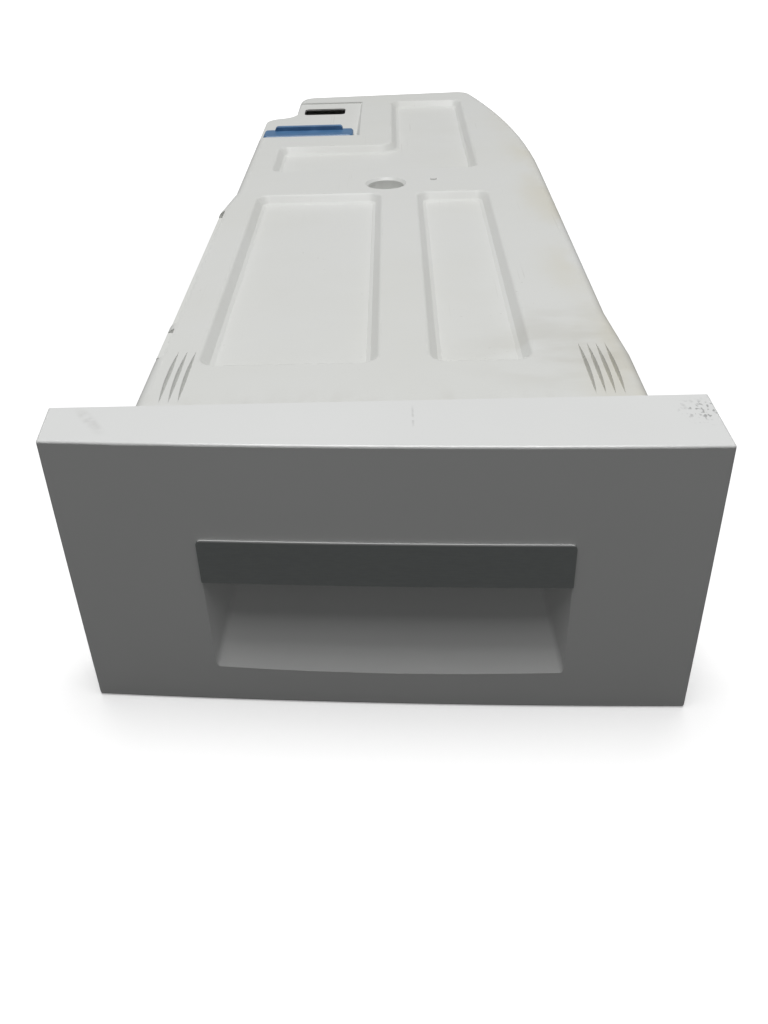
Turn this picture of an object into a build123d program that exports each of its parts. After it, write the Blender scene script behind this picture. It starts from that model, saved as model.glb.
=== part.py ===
from build123d import *
import math
import os

# Water tank of a tumble dryer: a long blow-moulded tank that slides into the machine behind a moulded
# front panel with a grip. A pull-out filter sits in a well at the rear left, in front of the pour slot.
# Millimetres. X to the right seen from the front, Y from the front to the rear, Z up.
# The drawing frame has Y = 0 at the panel's rear rim, and every piece is moved to the box centre at the end.

# Front panel
PANEL_WIDTH = 220.6
PANEL_HEIGHT = 112.6
PANEL_DEPTH_LEFT = 22.7
PANEL_DEPTH_RIGHT = 34.3
PANEL_FLARE_LEFT = 2.2
PANEL_BOW = 1.8
PANEL_CROWN = 0.4
PANEL_WALL = 2.5
PANEL_EDGE = 0.9

# Grip recess in the panel and the strip across its top
GRIP_WIDTH = 128.3
GRIP_SHIFT = 0.7
GRIP_BOTTOM = 15.5
GRIP_TOP = 75.6
GRIP_CORNER = 2.2
GRIP_DEPTH = 17.5
GRIP_END_RISE = 5.0
GRIP_SIDE_RUN = 8.5
GRIP_ROOF = 83.4
GRIP_KNEE = 59.0
GRIP_WALL = 2.0
GRIP_ROUND = 2.5
STRIP_HEIGHT = 18.2
STRIP_PROUD = 0.6
STRIP_THICK = 3.0
STRIP_TAB = 4.0
STRIP_TAB_THICK = 2.0
STRIP_CLEARANCE = 0.15

# Tank outline, seen from above
TANK_DROP = 5.0
TANK_REACH = 505.0
TANK_REAR_SKEW = 9.5
TANK_WIDTH_LEFT = 87.5
TANK_WIDTH_RIGHT = 92.2
FLARE_STEP = 2.5
FLARE_END = 46.0
FLARE_RUN = 40.0
LEFT_STEP_FROM_REAR = 279.0
LEFT_STEP_RUN = 35.0
LEFT_STEP = 4.6
SHOULDER_FROM_REAR = 70.0
SHOULDER_DEPTH = 6.0
SPOUT_STEP = 19.9
TAPER_LENGTH = 206.0
TAPER_RADIUS = 745.0
OUTLINE_ROUND = 12.0

# Tank section
TANK_WALL = 2.4
TANK_EDGE = 5.0
DRUM_RADIUS = 300.0
DRUM_START_X = 11.0
DRUM_RISE = 45.0

# Neck of the tank that goes into the panel, and the ribs that hold the panel on it
NECK_LENGTH = 9.0
NECK_STEP = 6.0
BEAD_WIDTH = 2.0
BEAD_HEIGHT = 1.6
RIB_LENGTH = 34.0
RIB_THICK = 5.0
RIB_CLEARANCE = 0.15
TOP_RIB_X = (-52.0, 52.0)
BOTTOM_RIB_X = (-58.0, -14.0)

# Embossing of the tank's top
EMBOSS_DEPTH = 4.2
EMBOSS_RUN = 4.0
EMBOSS_CORNER = 7.0
EMBOSS_LIP = 2.0
EMBOSS_FOOT = 1.0
FIELD_INSET_LEFT = 18.4
FIELD_INSET_RIGHT = 34.8
FIELD_RIDGE_X = (-0.8, 18.4)
FIELDS_FRONT = 40.3
FIELDS_FROM_REAR = 254.0
ANGLE_INSET_LEFT = 21.5
ANGLE_INSET_RIGHT = 36.7
ANGLE_FROM_REAR = 208.0
ANGLE_BAR = 55.0
ANGLE_ARM_LEFT = 5.0
ANGLE_ARM_FROM_REAR = 31.0
DIMPLE_X = 1.6
DIMPLE_FROM_REAR = 236.5
DIMPLE_RADIUS = 10.2
DIMPLE_FLOOR = 8.4
DIMPLE_DEPTH = 13.0
DIMPLE_LIP = 1.4
PIP_X = 28.6
PIP_FROM_REAR = 231.0
PIP_RADIUS = 1.8
PIP_HEIGHT = 0.7
GILL_LENGTH = 42.0
GILL_DEPTH = 2.8
GILL_OUTER = 1.2
GILL_INNER = 0.35
GILL_PITCH = 3.35
GILL_Y = 32.0
GILL_INSET_LEFT = 9.7
GILL_COUNT_LEFT = 3
GILL_INSET_RIGHT = 16.8
GILL_COUNT_RIGHT = 4
RAIL_WIDTH = 4.0
RAIL_DEPTH = 4.0
RAIL_FRONT = 81.0
LUG_Y = (52.0, 75.0)
NOTCH_LENGTH = 3.0

# Filter deck, well and pour slot at the rear left
DECK_DEPTH = 3.0
DECK_MARGIN = 4.5
DECK_REAR_DEPTH = 1.0
DECK_FROM_REAR = 127.5
DECK_LENGTH = 97.0
DECK_RUN = 2.4
CAP_INSET = 3.4
CAP_WIDTH = 59.0
CAP_LENGTH = 17.6
CAP_THICK = 2.4
CAP_CORNER = 2.5
CAP_FRONT_GAP = 0.4
FINGER_RIB_WIDTH = 45.0
FINGER_RIB_THICK = 4.0
FINGER_RIB_HEIGHT = 4.8
BASKET_MARGIN = 3.2
BASKET_DEPTH = 36.0
BASKET_WALL = 1.6
WINDOW_COUNT = 4
WELL_CLEARANCE = 0.5
SEAL_THICK = 1.0
SEAL_WIDTH = 2.0
MESH_THICK = 0.5
SLOT_INSET = 20.5
SLOT_WIDTH = 29.0
SLOT_LENGTH = 16.0
SLOT_FROM_REAR = 52.0
SLOT_CORNER = 3.0
SLOT_LIP = 0.8
SLOT_RELIEF = 3.0

# Reach within which an edge or corner counts as lying on a plane
PICK = 0.1

# Places worked out from the sizes above
TANK_TOP = PANEL_HEIGHT - TANK_DROP
NECK_FRONT = -NECK_LENGTH
DECK_Z = TANK_TOP - DECK_DEPTH
WAIST_X = LEFT_STEP - TANK_WIDTH_LEFT
FIELD_LEFT_X = (FIELD_INSET_LEFT - TANK_WIDTH_LEFT, FIELD_RIDGE_X[0])
FIELD_RIGHT_X = (FIELD_RIDGE_X[1], TANK_WIDTH_RIGHT - FIELD_INSET_RIGHT)
ANGLE_LEFT = ANGLE_INSET_LEFT - TANK_WIDTH_LEFT
ANGLE_RIGHT = TANK_WIDTH_RIGHT - ANGLE_INSET_RIGHT
GILLS_LEFT_X = GILL_INSET_LEFT - TANK_WIDTH_LEFT
GILLS_RIGHT_X = TANK_WIDTH_RIGHT - GILL_INSET_RIGHT
CAP_LEFT = WAIST_X + CAP_INSET
CAP_RIGHT = CAP_LEFT + CAP_WIDTH
DECK_RIGHT = CAP_RIGHT + DECK_MARGIN
SLOT_X = WAIST_X + SPOUT_STEP + SLOT_INSET
LEFT_STEP_START = TANK_REACH - LEFT_STEP_FROM_REAR
SHOULDER_Y = TANK_REACH - SHOULDER_FROM_REAR
TAPER_START = TANK_REACH - TAPER_LENGTH
FIELDS_REAR = TANK_REACH - FIELDS_FROM_REAR
ANGLE_FRONT = TANK_REACH - ANGLE_FROM_REAR
ANGLE_REAR = ANGLE_FRONT + ANGLE_BAR
ANGLE_ARM_REAR = TANK_REACH - ANGLE_ARM_FROM_REAR
DIMPLE_Y = TANK_REACH - DIMPLE_FROM_REAR
PIP_Y = TANK_REACH - PIP_FROM_REAR
DECK_FRONT = TANK_REACH - DECK_FROM_REAR
DECK_REAR = DECK_FRONT + DECK_LENGTH
DECK_FLAT_END = DECK_FRONT + CAP_FRONT_GAP + CAP_LENGTH
SLOT_Y = TANK_REACH - SLOT_FROM_REAR
MIDDLE_X = -PANEL_FLARE_LEFT / 2
MIDDLE_Y = (TANK_REACH - PANEL_DEPTH_RIGHT) / 2
HALF_GRIP = GRIP_WIDTH / 2
STRIP_BOTTOM = GRIP_TOP - STRIP_HEIGHT
FACE_SKEW = math.degrees(math.atan2(PANEL_DEPTH_RIGHT - PANEL_DEPTH_LEFT, PANEL_WIDTH))
FACE_MIDDLE_Y = -(PANEL_DEPTH_LEFT + PANEL_DEPTH_RIGHT) / 2 - PANEL_BOW
GRIP_PLACE = Pos(GRIP_SHIFT, FACE_MIDDLE_Y, 0) * Rot(0, 0, -FACE_SKEW)


def block(x, y, z):
    """A box from its lower to its upper limit along each axis."""
    size = Box(x[1] - x[0], y[1] - y[0], z[1] - z[0], align=Align.MIN)
    return Pos(x[0], y[0], z[0]) * size


def face_y(x):
    """Y of the panel's face at half height, for a place across the panel."""
    share = 2 * x / PANEL_WIDTH
    skew = (PANEL_DEPTH_LEFT - PANEL_DEPTH_RIGHT) / 2 * share
    return skew - (PANEL_DEPTH_LEFT + PANEL_DEPTH_RIGHT) / 2 - PANEL_BOW * (1 - share**2)


def panel_form(inset, rear=0.0):
    """The panel's full block, moved in by a wall on all sides but the rear."""
    half = PANEL_WIDTH / 2 - inset
    sections = []
    for z in (inset, PANEL_HEIGHT / 2, PANEL_HEIGHT - inset):
        back = PANEL_CROWN * (2 * z / PANEL_HEIGHT - 1) ** 2 + inset
        left = (-half, face_y(-half) + back)
        middle = (0, face_y(0) + back)
        right = (half, face_y(half) + back)
        face = ThreePointArc(left, middle, right)
        sides = Polyline(right, (half, rear), (-half - PANEL_FLARE_LEFT, rear), left)
        sections.append(Pos(0, 0, z) * make_face(face.edges() + sides.edges()))
    return loft(sections)


def grip_form(grow):
    """The wedge of finger space behind the panel's face, grown outwards by a wall."""
    reach = HALF_GRIP + grow
    profile = Polyline(
        (-PANEL_DEPTH_LEFT, GRIP_BOTTOM),
        (0, GRIP_BOTTOM),
        (GRIP_DEPTH, GRIP_KNEE),
        (GRIP_DEPTH, GRIP_ROOF),
        (-PANEL_DEPTH_LEFT, GRIP_ROOF),
        close=True,
    )
    side = make_face(profile.edges())
    if grow:
        side = offset(side, grow, kind=Kind.INTERSECTION)
    wedge = extrude(Plane.YZ * side, reach, both=True)
    far = GRIP_DEPTH + grow
    near = far - GRIP_END_RISE
    inner = reach - GRIP_SIDE_RUN
    front = -2 * PANEL_DEPTH_LEFT
    bowl_back = ThreePointArc((-inner, near), (0, far), (inner, near))
    bowl_front = Polyline(
        (inner, near), (reach, 0), (reach, front), (-reach, front), (-reach, 0), (-inner, near)
    )
    bowl = extrude(make_face(bowl_back.edges() + bowl_front.edges()), PANEL_HEIGHT)
    space = wedge & bowl
    creases = space.edges().filter_by(lambda e: abs(e.center().X) > inner + PICK)
    creases = creases.filter_by(lambda e: PICK < e.center().Y < near + PICK and e.center().Z < GRIP_ROOF)
    return GRIP_PLACE * fillet(creases, GRIP_ROUND + grow)


def grip_opening(margin):
    """The block that the grip's opening cuts through the face, made smaller by a clearance."""
    reach = HALF_GRIP - margin
    window = block((-reach, reach), (-PANEL_DEPTH_RIGHT, PANEL_DEPTH_RIGHT), (0, GRIP_TOP - margin))
    corners = window.edges().filter_by(Axis.Y).group_by(Axis.Z)[-1]
    return GRIP_PLACE * fillet(corners, GRIP_CORNER - margin)


def front_panel():
    outer = panel_form(0)
    outer = fillet(outer.edges().filter_by(lambda e: e.center().Y < -PANEL_EDGE), PANEL_EDGE)
    shell = outer - panel_form(PANEL_WALL, rear=PANEL_WALL)
    scoop = grip_form(GRIP_WALL) & panel_form(PANEL_WALL / 2)
    fingers = grip_form(0)
    panel = shell + scoop - (fingers & panel_form(PANEL_WALL)) - (fingers & grip_opening(0))
    for x in TOP_RIB_X:
        panel += snap_rib(x, TANK_TOP - NECK_STEP, PANEL_HEIGHT - PANEL_WALL / 2)
    for x in BOTTOM_RIB_X:
        panel += snap_rib(x, PANEL_WALL / 2, NECK_STEP)
    return panel


def snap_rib(x, low, high):
    """One rib on the panel's wall that drops in behind a bead of the tank's neck."""
    half = RIB_LENGTH / 2
    return block((x - half, x + half), (-RIB_THICK - RIB_CLEARANCE, -RIB_CLEARANCE), (low, high))


def grip_strip():
    pad = panel_form(-STRIP_PROUD) - panel_form(STRIP_THICK)
    pad &= grip_opening(STRIP_CLEARANCE)
    tab_front = PANEL_WALL + STRIP_CLEARANCE
    tab = panel_form(tab_front) - panel_form(tab_front + STRIP_TAB_THICK)
    tab &= Pos(0, 0, STRIP_TAB) * grip_opening(STRIP_CLEARANCE)
    below = block((-PANEL_WIDTH, PANEL_WIDTH), (-PANEL_WIDTH, PANEL_WIDTH), (-PANEL_HEIGHT, STRIP_BOTTOM))
    return (pad + tab - below) & grip_form(-STRIP_CLEARANCE)


def tank_outline(inset):
    """The tank seen from above, from the panel's rim to its rear end, moved in by a wall."""
    right = TANK_WIDTH_RIGHT - inset
    flare = right + FLARE_STEP
    left = inset - TANK_WIDTH_LEFT
    waist = left + LEFT_STEP
    spout = waist + SPOUT_STEP
    rear = TANK_REACH - inset
    radius = TAPER_RADIUS - inset
    turn = math.asin((rear - TAPER_START) / radius)
    taper_end = (right - radius * (1 - math.cos(turn)), rear)
    taper_mid = (right - radius * (1 - math.cos(turn / 2)), TAPER_START + radius * math.sin(turn / 2))
    straight = Polyline(
        (right, TAPER_START),
        (right, FLARE_END + FLARE_RUN),
        (flare, FLARE_END),
        (flare, inset),
        (left, inset),
        (left, LEFT_STEP_START),
        (waist, LEFT_STEP_START + LEFT_STEP_RUN),
        (waist, SHOULDER_Y - inset),
        (spout, SHOULDER_Y + SHOULDER_DEPTH - inset),
        (spout, rear - TANK_REAR_SKEW),
        taper_end,
    )
    taper = ThreePointArc(taper_end, taper_mid, (right, TAPER_START))
    outline = make_face(straight.edges() + taper.edges())
    corners = outline.vertices().filter_by(lambda v: v.Y > FLARE_END / 2)
    corners = [v for v in corners if abs(v.Y - TAPER_START) > PICK]
    return fillet(corners, OUTLINE_ROUND - inset)


def drum_clearance(grow):
    """The round space that the dryer's drum needs under the tank's right side."""
    run = TANK_WIDTH_RIGHT - DRUM_START_X
    chord = math.hypot(run, DRUM_RISE)
    drop = math.sqrt(DRUM_RADIUS**2 - chord**2 / 4) / chord
    x = DRUM_START_X + run / 2 + drop * DRUM_RISE
    z = DRUM_RISE / 2 - drop * run
    length = 2 * (TANK_REACH + NECK_LENGTH)
    return Pos(x, 0, z) * Rot(90, 0, 0) * Cylinder(DRUM_RADIUS + grow, length)


def tank_form(inset):
    """The tank's plain form with its neck, moved in by a wall on all sides."""
    body = extrude(Pos(0, 0, inset) * tank_outline(inset), TANK_TOP - 2 * inset)
    body -= drum_clearance(inset)
    if not inset:
        levels = body.edges().group_by(Axis.Z)
        hollow = body.faces().filter_by(GeomType.CYLINDER).sort_by(SortBy.AREA)[-1]
        rising = [e for e in hollow.edges() if e not in levels[0]]
        body = fillet(levels[-1] + levels[0] + rising, TANK_EDGE)
    step = NECK_STEP + inset
    neck = block(
        (step - TANK_WIDTH_LEFT, TANK_WIDTH_RIGHT + FLARE_STEP - step),
        (NECK_FRONT + inset, NECK_LENGTH),
        (step, TANK_TOP - step),
    )
    neck = fillet(neck.edges().filter_by(Axis.Y), TANK_EDGE)
    return body + (neck - drum_clearance(step))


def emboss_sketches():
    """Outlines of the sunk fields in the tank's top."""
    fields = []
    for x in (FIELD_LEFT_X, FIELD_RIGHT_X):
        width = x[1] - x[0]
        length = FIELDS_REAR - FIELDS_FRONT
        field = RectangleRounded(width, length, EMBOSS_CORNER)
        fields.append(Pos(x[0] + width / 2, FIELDS_FRONT + length / 2) * field)
    angle = Polyline(
        (ANGLE_LEFT, ANGLE_FRONT),
        (ANGLE_RIGHT, ANGLE_FRONT),
        (ANGLE_RIGHT, ANGLE_ARM_REAR),
        (ANGLE_ARM_LEFT, ANGLE_ARM_REAR),
        (ANGLE_ARM_LEFT, ANGLE_REAR),
        (ANGLE_LEFT, ANGLE_REAR),
        close=True,
    )
    angle = make_face(angle.edges())
    fields.append(fillet(angle.vertices(), EMBOSS_CORNER))
    return fields


def embossing(grow):
    """What the tank's top loses to its sunk fields and dimple, grown by a wall for the inside."""
    slope = math.degrees(math.atan2(EMBOSS_RUN, EMBOSS_DEPTH))
    sunk = []
    for field in emboss_sketches():
        grown = offset(field, grow) if grow else field
        sunk.append(extrude(Pos(0, 0, TANK_TOP) * grown, -EMBOSS_DEPTH - grow, taper=slope))
    depth = DIMPLE_DEPTH + grow
    cone = Cone(DIMPLE_FLOOR + grow, DIMPLE_RADIUS + grow, depth)
    sunk.append(Pos(DIMPLE_X, DIMPLE_Y, TANK_TOP - depth / 2) * cone)
    return sunk


def deck_z(y):
    """Height of the deck's floor behind the filter's cap, where it rises to the rear."""
    share = (y - DECK_FLAT_END) / (DECK_REAR - DECK_FLAT_END)
    return DECK_Z + (DECK_DEPTH - DECK_REAR_DEPTH) * share


def ledges(grow):
    """Cuts at the tank's top: the side rail, the lug and notch in front of it and the filter's deck."""
    outside = -2 * TANK_WIDTH_LEFT
    above = 2 * TANK_TOP
    rail_x = (outside, RAIL_WIDTH - TANK_WIDTH_LEFT + grow)
    rail_z = (TANK_TOP - RAIL_DEPTH - grow, above)
    lug_z = (TANK_TOP - RAIL_DEPTH / 2 - grow, above)
    front = DECK_FRONT - grow
    deck = Polyline(
        (front, above),
        (front, DECK_Z - grow),
        (DECK_FLAT_END, DECK_Z - grow),
        (DECK_REAR + grow, TANK_TOP - DECK_REAR_DEPTH - grow),
        (DECK_REAR + grow, above),
        close=True,
    )
    deck = extrude(Plane.YZ * make_face(deck.edges()), TANK_WIDTH_RIGHT, both=True)
    wall = Polyline(
        (outside, DECK_Z - grow),
        (DECK_RIGHT - DECK_RUN + grow, DECK_Z - grow),
        (DECK_RIGHT + grow, TANK_TOP),
        (DECK_RIGHT + grow, above),
        (outside, above),
        close=True,
    )
    deck &= extrude(Plane.XZ * make_face(wall.edges()), TANK_REACH, both=True)
    return [
        block(rail_x, (RAIL_FRONT - grow, LEFT_STEP_START + grow), rail_z),
        block(rail_x, (LUG_Y[0] - grow, LUG_Y[1] + grow), lug_z),
        block(rail_x, (LUG_Y[0] - NOTCH_LENGTH - grow, LUG_Y[0] + grow), rail_z),
        deck,
    ]


def gill_sets():
    """Place of the first gill, number of gills and outer side, for each front corner of the tank's top."""
    return [(GILLS_LEFT_X, GILL_COUNT_LEFT, -1), (GILLS_RIGHT_X, GILL_COUNT_RIGHT, 1)]


def gills():
    """Tapered grooves side by side at the two front corners of the tank's top, steeper on the inner side."""
    radius = (GILL_LENGTH**2 / 4 + GILL_DEPTH**2) / (2 * GILL_DEPTH)
    high = radius - 2 * GILL_DEPTH
    grooves = []
    for first, count, side in gill_sets():
        outer = 2 * side * GILL_OUTER
        inner = -2 * side * GILL_INNER
        rim = Polyline((outer, high), (0, radius), (inner, high), close=True)
        wheel = revolve(make_face(rim.edges()), Axis.X)
        for i in range(count):
            grooves.append(Pos(first + GILL_PITCH * i, GILL_Y, TANK_TOP + radius - GILL_DEPTH) * wheel)
    return grooves


def gill_pads():
    """Thicker wall under the two sets of gills."""
    y = (GILL_Y - GILL_LENGTH / 2, GILL_Y + GILL_LENGTH / 2)
    z = (TANK_TOP - GILL_DEPTH - TANK_WALL, TANK_TOP)
    pads = []
    for first, count, _ in gill_sets():
        pads.append(block((first - GILL_PITCH, first + GILL_PITCH * count), y, z))
    return pads


def basket_box(grow, low, high):
    """A block round the filter's basket, grown outwards, between two heights."""
    front = DECK_FRONT + CAP_FRONT_GAP
    margin = BASKET_MARGIN - grow
    x = (CAP_LEFT + margin, CAP_RIGHT - margin)
    return block(x, (front + margin, front + CAP_LENGTH - margin), (low, high))


def neck_beads():
    """Beads on the neck, in front of the panel's snap ribs."""
    rear = -RIB_THICK - 2 * RIB_CLEARANCE
    depth = (rear - BEAD_WIDTH, rear)
    top = TANK_TOP - NECK_STEP
    root = TANK_WALL / 2
    rows = [(x, top - root, top + BEAD_HEIGHT) for x in TOP_RIB_X]
    rows += [(x, NECK_STEP - BEAD_HEIGHT, NECK_STEP + root) for x in BOTTOM_RIB_X]
    return [block((x - RIB_LENGTH / 2, x + RIB_LENGTH / 2), depth, (low, high)) for x, low, high in rows]


def tank_body():
    outer = tank_form(0)
    for cut in embossing(0):
        outer -= cut
    floors = outer.faces().filter_by(lambda f: abs(f.center().Z - TANK_TOP + EMBOSS_DEPTH) < PICK)
    outer = chamfer(floors.edges(), EMBOSS_FOOT)
    top_face = outer.faces().filter_by(Axis.Z).sort_by(Axis.Z)[-1]
    rims = sorted(top_face.inner_wires(), key=lambda wire: wire.length)
    outer = chamfer(rims[0].edges(), DIMPLE_LIP)
    top_face = outer.faces().filter_by(Axis.Z).sort_by(Axis.Z)[-1]
    rims = sorted(top_face.inner_wires(), key=lambda wire: wire.length)
    lips = [edge for rim in rims[1:] for edge in rim.edges()]
    outer = fillet(lips, EMBOSS_LIP)
    for cut in ledges(0) + gills():
        outer -= cut
    cavity = tank_form(TANK_WALL)
    for boss in embossing(TANK_WALL) + ledges(TANK_WALL) + gill_pads():
        cavity -= boss
    tank = outer - cavity
    for bead in neck_beads():
        tank += bead
    tank += Pos(PIP_X, PIP_Y, TANK_TOP) * Cylinder(PIP_RADIUS, 2 * PIP_HEIGHT)
    tank -= basket_box(WELL_CLEARANCE, DECK_Z - 2 * TANK_WALL, TANK_TOP)
    inside = DECK_Z - 2 * TANK_WALL
    slot = RectangleRounded(SLOT_WIDTH, SLOT_LENGTH, SLOT_CORNER)
    relief = offset(slot, SLOT_RELIEF)
    tank -= extrude(Pos(SLOT_X, SLOT_Y, inside) * relief, deck_z(SLOT_Y) - SLOT_LIP - inside)
    return tank - extrude(Pos(SLOT_X, SLOT_Y, inside) * slot, TANK_TOP)


def filter_frame():
    front = DECK_FRONT + CAP_FRONT_GAP
    low = DECK_Z + SEAL_THICK
    plate = RectangleRounded(CAP_RIGHT - CAP_LEFT, CAP_LENGTH, CAP_CORNER)
    middle = (CAP_LEFT + CAP_RIGHT) / 2
    cap = extrude(Pos(middle, front + CAP_LENGTH / 2, low) * plate, CAP_THICK)
    cap = chamfer(cap.edges().group_by(Axis.Z)[-1], CAP_THICK / 3)
    rib_x = (middle - FINGER_RIB_WIDTH / 2, middle + FINGER_RIB_WIDTH / 2)
    rib_y = (front + CAP_LENGTH - FINGER_RIB_THICK, front + CAP_LENGTH)
    rib = block(rib_x, rib_y, (low + CAP_THICK / 2, low + FINGER_RIB_HEIGHT))
    rib = fillet(rib.edges().filter_by(Axis.Y).group_by(Axis.Z)[-1], FINGER_RIB_THICK / 2)
    basket = basket_box(0, low - BASKET_DEPTH, low + CAP_THICK / 2)
    basket -= basket_box(-BASKET_WALL, low - BASKET_DEPTH + BASKET_WALL, low)
    return cap + rib + basket - basket_windows(low)


def basket_windows(low):
    """Rows of windows through the basket's long sides."""
    front = DECK_FRONT + CAP_FRONT_GAP
    left = CAP_LEFT + BASKET_MARGIN + BASKET_WALL
    pitch = (CAP_RIGHT - CAP_LEFT - 2 * BASKET_MARGIN - BASKET_WALL) / WINDOW_COUNT
    height = (low - BASKET_DEPTH + 2 * BASKET_WALL, low - 2 * BASKET_WALL)
    rows = [left + pitch * i for i in range(WINDOW_COUNT)]
    return [block((x, x + pitch - BASKET_WALL), (front, front + CAP_LENGTH), height) for x in rows]


def filter_mesh():
    low = DECK_Z + SEAL_THICK
    floor = low - BASKET_DEPTH + BASKET_WALL
    sleeve = basket_box(-BASKET_WALL, floor, low)
    return sleeve - basket_box(-BASKET_WALL - MESH_THICK, floor, low)


def filter_seal():
    ring = basket_box(WELL_CLEARANCE + SEAL_WIDTH, DECK_Z, DECK_Z + SEAL_THICK)
    return ring - basket_box(0, DECK_Z, DECK_Z + SEAL_THICK)


os.makedirs("parts", exist_ok=True)
pieces = {
    "tank_body": tank_body(),
    "front_panel": front_panel(),
    "grip_strip": grip_strip(),
    "filter_frame": filter_frame(),
    "filter_mesh": filter_mesh(),
    "filter_seal": filter_seal(),
}
for name, piece in pieces.items():
    export_step(Pos(-MIDDLE_X, -MIDDLE_Y, 0) * piece, f"parts/{name}.step")
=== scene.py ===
import math

import bpy
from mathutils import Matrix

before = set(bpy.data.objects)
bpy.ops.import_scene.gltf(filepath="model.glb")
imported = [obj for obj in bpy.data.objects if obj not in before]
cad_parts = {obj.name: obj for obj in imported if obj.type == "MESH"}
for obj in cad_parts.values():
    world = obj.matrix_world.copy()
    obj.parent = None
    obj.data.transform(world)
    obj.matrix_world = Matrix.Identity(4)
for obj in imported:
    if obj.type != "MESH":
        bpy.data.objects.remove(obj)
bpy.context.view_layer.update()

# Tank: one long blow-moulded shell of off-white plastic, with sunk fields pressed into its top.
# Its silky skin is faintly cloudy and wavy from the mould, yellowed along the right edge and grimy in front.


class Shade:
    """A shader socket that takes part in sums. Every other node comes from its node method."""

    def __init__(self, tree, socket=None):
        self.tree = tree
        self.socket = socket

    def node(self, kind, settings=None, inputs=None, output=0):
        made = self.tree.nodes.new(kind)
        for name, value in (settings or {}).items():
            setattr(made, name, value)
        for name, value in (inputs or {}).items():
            if isinstance(value, Shade):
                self.tree.links.new(value.socket, made.inputs[name])
            else:
                made.inputs[name].default_value = value
        return Shade(self.tree, made.outputs[output])

    def __add__(self, other):
        return self.node("ShaderNodeMath", {"operation": "ADD"}, {0: self, 1: other})

    def __sub__(self, other):
        return self.node("ShaderNodeMath", {"operation": "SUBTRACT"}, {0: self, 1: other})

    def __rsub__(self, other):
        return self.node("ShaderNodeMath", {"operation": "SUBTRACT"}, {0: other, 1: self})

    def __mul__(self, other):
        return self.node("ShaderNodeMath", {"operation": "MULTIPLY"}, {0: self, 1: other})

    def __abs__(self):
        return self.node("ShaderNodeMath", {"operation": "ABSOLUTE"}, {0: self})

    __radd__ = __add__
    __rmul__ = __mul__


def finish(name):
    """A new material with its shader, and a place to start its nodes from: object coordinates."""
    material = bpy.data.materials.new(name)
    material.use_nodes = True
    shader = material.node_tree.nodes["Principled BSDF"]
    place = Shade(material.node_tree).node("ShaderNodeTexCoord", output="Object")
    return material, shader, place


def feed(shader, **sockets):
    """Sets or links the shader's own sockets, named with underscores for spaces."""
    for name, value in sockets.items():
        socket = shader.inputs[name.replace("_", " ")]
        if isinstance(value, Shade):
            value.tree.links.new(value.socket, socket)
        else:
            socket.default_value = value


def axis(place, name):
    """One coordinate of a place, in metres."""
    return place.node("ShaderNodeSeparateXYZ", inputs={0: place}, output=name)


def ramp(value, low, high):
    """A soft step from 0 at one value to 1 at another."""
    limits = {"Value": value, "From Min": low, "From Max": high}
    return value.node("ShaderNodeMapRange", {"interpolation_type": "SMOOTHSTEP"}, limits)


def noise(place, per_metre, detail=3.0):
    """Cloudy values about one half, so many to the metre."""
    return place.node("ShaderNodeTexNoise", inputs={"Vector": place, "Scale": per_metre, "Detail": detail})


def patches(place, per_metre, low, high, detail=3.0):
    """Noise cut into soft patches: 0 where it lies below one value, 1 above another."""
    return ramp(noise(place, per_metre, detail), low, high)


def stretch(place, x, y, z):
    """A place scaled along each axis, for marks that run one way."""
    return place.node("ShaderNodeVectorMath", {"operation": "MULTIPLY"}, {0: place, 1: (x, y, z)})


def near(place, point, reach):
    """1 at a point and round it, fading to 0 at a reach in metres."""
    gap = place.node("ShaderNodeVectorMath", {"operation": "DISTANCE"}, {0: place, 1: point}, output="Value")
    return 1 - ramp(gap, 0.2 * reach, reach)


def blend(amount, first, second):
    """The first colour going over to the second by an amount from 0 to 1."""
    return amount.node("ShaderNodeMix", {"data_type": "RGBA"}, {0: amount, 6: first, 7: second}, output=2)


def stain(tone, where, mark):
    """A tone with a mark's colour over it, at the mark's strength."""
    colour, strength = mark
    return blend(where * strength, tone, colour)


def relief(height, depth, strength, below=None):
    """A normal that rises and sinks with a height."""
    inputs = {"Height": height, "Distance": depth, "Strength": strength}
    if below:
        inputs["Normal"] = below
    return height.node("ShaderNodeBump", inputs=inputs)


def paint(node, material):
    """Gives a CAD node its finish."""
    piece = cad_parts[node]
    piece.data.materials.clear()
    piece.data.materials.append(material)


TANK_WHITE = (0.735, 0.742, 0.722, 1)
TANK_CLOUD = ((0.685, 0.69, 0.66, 1), 0.6)
YELLOWING = ((0.60, 0.54, 0.36, 1), 0.36)
YELLOWING_FROM_X, YELLOWING_FULL_X = 0.064, 0.094
GRIME = ((0.40, 0.37, 0.31, 1), 0.2)
GRIME_FULL_Y, GRIME_END_Y = -0.237, -0.2105
SPECKS = ((0.30, 0.28, 0.24, 1), 0.3)
SMEAR = ((0.45, 0.43, 0.36, 1), 0.26)
SMEAR_PLACE = (0.076, -0.185, 0.1076)
SMEAR_REACH = 0.055
SCRATCHES = ((0.45, 0.44, 0.41, 1), 0.22)
TANK_ROUGHNESS = 0.42

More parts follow.
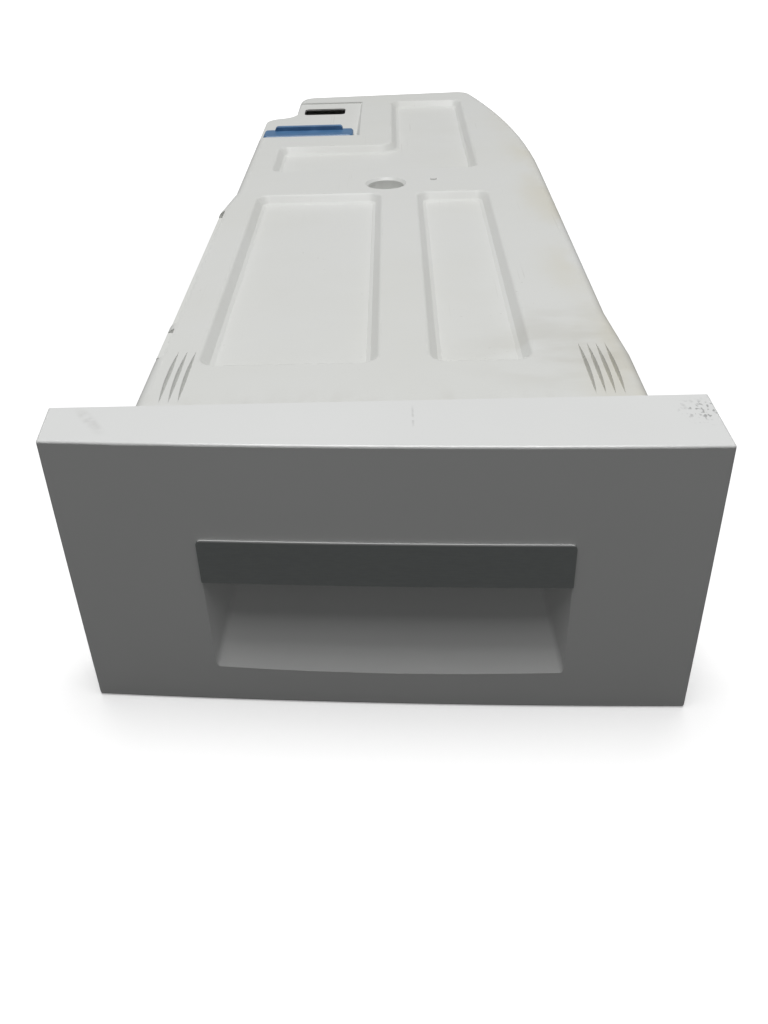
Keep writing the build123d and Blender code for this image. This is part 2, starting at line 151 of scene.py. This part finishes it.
material, shader, place = finish("tank_white")
cloud = patches(place, 13.0, 0.35, 0.7)
right_edge = ramp(axis(place, "X"), YELLOWING_FROM_X, YELLOWING_FULL_X)
yellow = right_edge * patches(stretch(place, 1, 0.5, 1), 26.0, 0.38, 0.68, detail=4.0)
front_end = 1 - ramp(axis(place, "Y"), GRIME_FULL_Y, GRIME_END_Y)
grime = front_end * patches(stretch(place, 1, 0.35, 1), 90.0, 0.42, 0.7, detail=5.0)
specks = patches(place, 520.0, 0.75, 0.79, detail=1.0) * patches(place, 17.0, 0.52, 0.62)
smear = patches(stretch(place, 0.5, 1, 1), 55.0, 0.4, 0.66, detail=4.0)
smear = near(place, SMEAR_PLACE, SMEAR_REACH) * smear
scratch = patches(stretch(place, 700, 14, 120), 1.0, 0.66, 0.74, detail=2.0) * patches(place, 9.0, 0.5, 0.62)
tone = stain(TANK_WHITE, cloud, TANK_CLOUD)
tone = stain(tone, yellow, YELLOWING)
tone = stain(tone, grime, GRIME)
tone = stain(tone, specks, SPECKS)
tone = stain(tone, smear, SMEAR)
tone = stain(tone, scratch, SCRATCHES)
grain = relief(noise(place, 1500.0, detail=2.0), depth=0.0002, strength=0.12)
skin = relief(noise(place, 26.0, detail=2.0), depth=0.0014, strength=0.35, below=grain)
feed(shader, Base_Color=tone, Roughness=TANK_ROUGHNESS + 0.12 * cloud + 0.1 * scratch, Normal=skin)
paint("tank_body", material)

# Front panel: a glossy white moulding, bowed across its face, clipped over the tank's neck.
# Its top shows scuffs at the rear corners and one faint line.
PANEL_WHITE = (0.80, 0.808, 0.80, 1)
PANEL_CLOUD = ((0.765, 0.772, 0.762, 1), 0.5)
SCUFF = ((0.14, 0.14, 0.14, 1), 0.6)
SCUFF_PLACE = (0.1076, -0.2465, 0.1126)
SCUFF_REACH = 0.011
SMUDGE = ((0.42, 0.41, 0.39, 1), 0.28)
SMUDGE_PLACE = (-0.0949, -0.245, 0.1126)
SMUDGE_REACH = 0.013
SMUDGE_ACROSS = (0.83, 0.555)
SMUDGE_FULL, SMUDGE_EDGE = 0.0004, 0.0028
LINE = ((0.40, 0.40, 0.39, 1), 0.35)
LINE_PLACE = (0.0121, -0.2465, 0.1126)
LINE_REACH = 0.009
LINE_FULL, LINE_EDGE = 0.0001, 0.0006
PANEL_ROUGHNESS = 0.17

material, shader, place = finish("panel_white")
x = axis(place, "X")
y = axis(place, "Y")
cloud = patches(place, 11.0, 0.3, 0.7)
scuff = patches(stretch(place, 1, 0.6, 1), 850.0, 0.54, 0.62)
scuff = near(place, SCUFF_PLACE, SCUFF_REACH) * scuff
across = SMUDGE_ACROSS[0] * (x - SMUDGE_PLACE[0]) + SMUDGE_ACROSS[1] * (y - SMUDGE_PLACE[1])
smudge = (1 - ramp(abs(across), SMUDGE_FULL, SMUDGE_EDGE)) * near(place, SMUDGE_PLACE, SMUDGE_REACH)
smudge = smudge * patches(place, 190.0, 0.3, 0.62, detail=4.0)
line = (1 - ramp(abs(x - LINE_PLACE[0]), LINE_FULL, LINE_EDGE)) * near(place, LINE_PLACE, LINE_REACH)
line = line * patches(place, 260.0, 0.4, 0.6)
tone = stain(PANEL_WHITE, cloud, PANEL_CLOUD)
tone = stain(tone, scuff, SCUFF)
tone = stain(tone, smudge, SMUDGE)
tone = stain(tone, line, LINE)
haze = patches(place, 34.0, 0.45, 0.75, detail=5.0)
skin = relief(noise(place, 30.0, detail=2.0), depth=0.0004, strength=0.12)
feed(shader, Base_Color=tone, Roughness=PANEL_ROUGHNESS + 0.1 * haze + 0.25 * scuff, Normal=skin)
paint("front_panel", material)

# Grip strip: a separate satin strip of silver-grey plastic, pressed into the top of the grip's opening.
# It stands a little proud of the face, and a pale band along its upper edge is a painted highlight, where
# that edge would catch the light.
STRIP_GREY = (0.265, 0.283, 0.28, 1)
STRIP_GREY_PALE = (0.29, 0.308, 0.305, 1)
STRIP_TOP = 0.07545
STRIP_PAINTED_HIGHLIGHT = ((0.82, 0.83, 0.82, 1), 0.9)
STRIP_HIGHLIGHT_FROM, STRIP_HIGHLIGHT_FULL = 0.0008, 0.0002
STRIP_ROUGHNESS = 0.36

material, shader, place = finish("strip_grey")
grain = patches(stretch(place, 1, 1, 8), 260.0, 0.3, 0.7, detail=4.0)
# Painted highlight: a pale band along the strip's top edge, standing in for the light that edge catches.
painted_highlight = ramp(axis(place, "Z"), STRIP_TOP - STRIP_HIGHLIGHT_FROM, STRIP_TOP - STRIP_HIGHLIGHT_FULL)
tone = stain(blend(grain, STRIP_GREY, STRIP_GREY_PALE), painted_highlight, STRIP_PAINTED_HIGHLIGHT)
skin = relief(noise(place, 1800.0, detail=2.0), depth=0.0001, strength=0.1)
feed(shader, Base_Color=tone, Roughness=STRIP_ROUGHNESS + 0.1 * grain, Normal=skin)
paint("grip_strip", material)

# Filter frame: a blue moulded cap with a finger rib, and the basket that hangs below it in the well.
# Satin plastic, a little paler where fingers have rubbed it. It lifts straight out.
FILTER_BLUE = (0.066, 0.17, 0.335, 1)
FILTER_RUB = ((0.11, 0.235, 0.42, 1), 0.5)
FILTER_ROUGHNESS = 0.34

material, shader, place = finish("filter_blue")
rub = patches(place, 120.0, 0.45, 0.7, detail=5.0)
tone = stain(FILTER_BLUE, rub, FILTER_RUB)
skin = relief(noise(place, 1400.0, detail=2.0), depth=0.0001, strength=0.12)
feed(shader, Base_Color=tone, Roughness=FILTER_ROUGHNESS + 0.14 * rub, Normal=skin)
paint("filter_frame", material)

# Filter mesh: a sleeve of fine grey weave inside the basket's windows.
# The threads cross at right angles, and lint has greyed some of them.
THREADS_PER_METRE = 900.0
MESH_GREY = (0.52, 0.54, 0.55, 1)
LINT = ((0.34, 0.34, 0.33, 1), 0.6)
MESH_GAPS = ((0.14, 0.145, 0.15, 1), 0.45)
MESH_ROUGHNESS = 0.75

material, shader, place = finish("mesh_grey")
waves = {}
for name in ("X", "Y", "Z"):
    turn = axis(place, name) * (THREADS_PER_METRE * math.tau)
    waves[name] = turn.node("ShaderNodeMath", {"operation": "SINE"}, {0: turn})
weave = ramp(waves["X"] * waves["Z"] + waves["Y"] * waves["Z"], -0.4, 0.4)
lint = patches(place, 150.0, 0.45, 0.65, detail=4.0)
tone = stain(stain(MESH_GREY, lint, LINT), weave, MESH_GAPS)
skin = relief(weave, depth=0.0002, strength=0.5)
feed(shader, Base_Color=tone, Roughness=MESH_ROUGHNESS, Normal=skin)
paint("filter_mesh", material)

# Filter seal: a flat ring of dark rubber that the cap rests on.
# Soft and matt, with a little pale dust.
RUBBER_DARK = (0.028, 0.028, 0.030, 1)
RUBBER_DUST = ((0.11, 0.108, 0.10, 1), 0.4)
RUBBER_ROUGHNESS = 0.6

material, shader, place = finish("seal_rubber")
dust = patches(place, 300.0, 0.5, 0.75, detail=4.0)
feed(shader, Base_Color=stain(RUBBER_DARK, dust, RUBBER_DUST), Roughness=RUBBER_ROUGHNESS + 0.2 * dust)
paint("filter_seal", material)

# Floor: a wide pale sheet that the part stands on, white to the camera and dimmer to the bounced light.
# It keeps the part's soft shadow and goes over into the white of the room further out.


def grey(value):
    """An even grey from black at 0 to white at 1."""
    return (value, value, value, 1)


FLOOR_HALF = 3.0
FLOOR_DROP = 0.0003
FLOOR_SEEN = grey(0.90)
FLOOR_BOUNCED = grey(0.15)
FLOOR_ROUGHNESS = 0.9
GLOW_NEAR = grey(0.32)
GLOW_REACH = 1.1

bpy.ops.object.select_all(action="DESELECT")
bpy.ops.mesh.primitive_plane_add(size=2 * FLOOR_HALF, location=(0, 0, -FLOOR_DROP))
floor = bpy.context.object
floor.name = "floor"
material, shader, place = finish("floor_white")
seen = place.node("ShaderNodeLightPath", output="Is Camera Ray")
tone = blend(seen, FLOOR_BOUNCED, FLOOR_SEEN)
feed(shader, Base_Color=tone, Roughness=FLOOR_ROUGHNESS, Specular_IOR_Level=0.0)
away = 1 - near(place, (0, 0, 0), GLOW_REACH)
glow = blend(away, GLOW_NEAR, grey(1))
feed(shader, Emission_Color=blend(seen, grey(0), glow), Emission_Strength=1.0)
floor.data.materials.append(material)

# Light: one wide soft lamp straight over the tank, and a dim room that the camera sees as white.
# A weaker lamp high in front leaves the panel's face in half shade and the grip's hollow dark.
# Each lamp has its place, its width, its power in watts and its tilt to the rear in degrees.
LAMPS = {
    "overhead": ((0.0, 0.0, 2.4), 1.3, 38.0, 0.0),
    "front": ((0.0, -0.76, 2.35), 1.0, 12.0, 12.0),
}
ROOM_DIM = grey(0.075)
ROOM_MIRRORED = grey(0.30)

for name, (lamp_place, lamp_width, lamp_power, lamp_tilt) in LAMPS.items():
    bpy.ops.object.light_add(type="AREA", location=lamp_place)
    lamp = bpy.context.object
    lamp.name = name
    lamp.data.size = lamp_width
    lamp.data.energy = lamp_power
    lamp.rotation_euler.x = math.radians(lamp_tilt)
world = bpy.data.worlds.new("room")
bpy.context.scene.world = world
world.use_nodes = True
start = Shade(world.node_tree)
seen = start.node("ShaderNodeLightPath", output="Is Camera Ray")
mirrored = start.node("ShaderNodeLightPath", output="Is Glossy Ray")
room = blend(seen, blend(mirrored, ROOM_DIM, ROOM_MIRRORED), grey(1))
world.node_tree.links.new(room.socket, world.node_tree.nodes["Background"].inputs["Color"])

# Camera: in front of the panel and above it, looking down along the tank.
# Its place and lens come from a fit to the part's straight edges.
CAMERA_PLACE = (0.00765, -0.53089, 0.27035)
CAMERA_TURN = (55.485, 1.461, 0.195)
CAMERA_LENS = 34.728
CAMERA_NEAREST = 0.01

bpy.ops.object.camera_add(location=CAMERA_PLACE)
camera = bpy.context.object
camera.name = "camera"
camera.rotation_euler = [math.radians(angle) for angle in CAMERA_TURN]
camera.data.lens = CAMERA_LENS
camera.data.clip_start = CAMERA_NEAREST
bpy.context.scene.camera = camera
bpy.context.scene.view_settings.view_transform = "Standard"
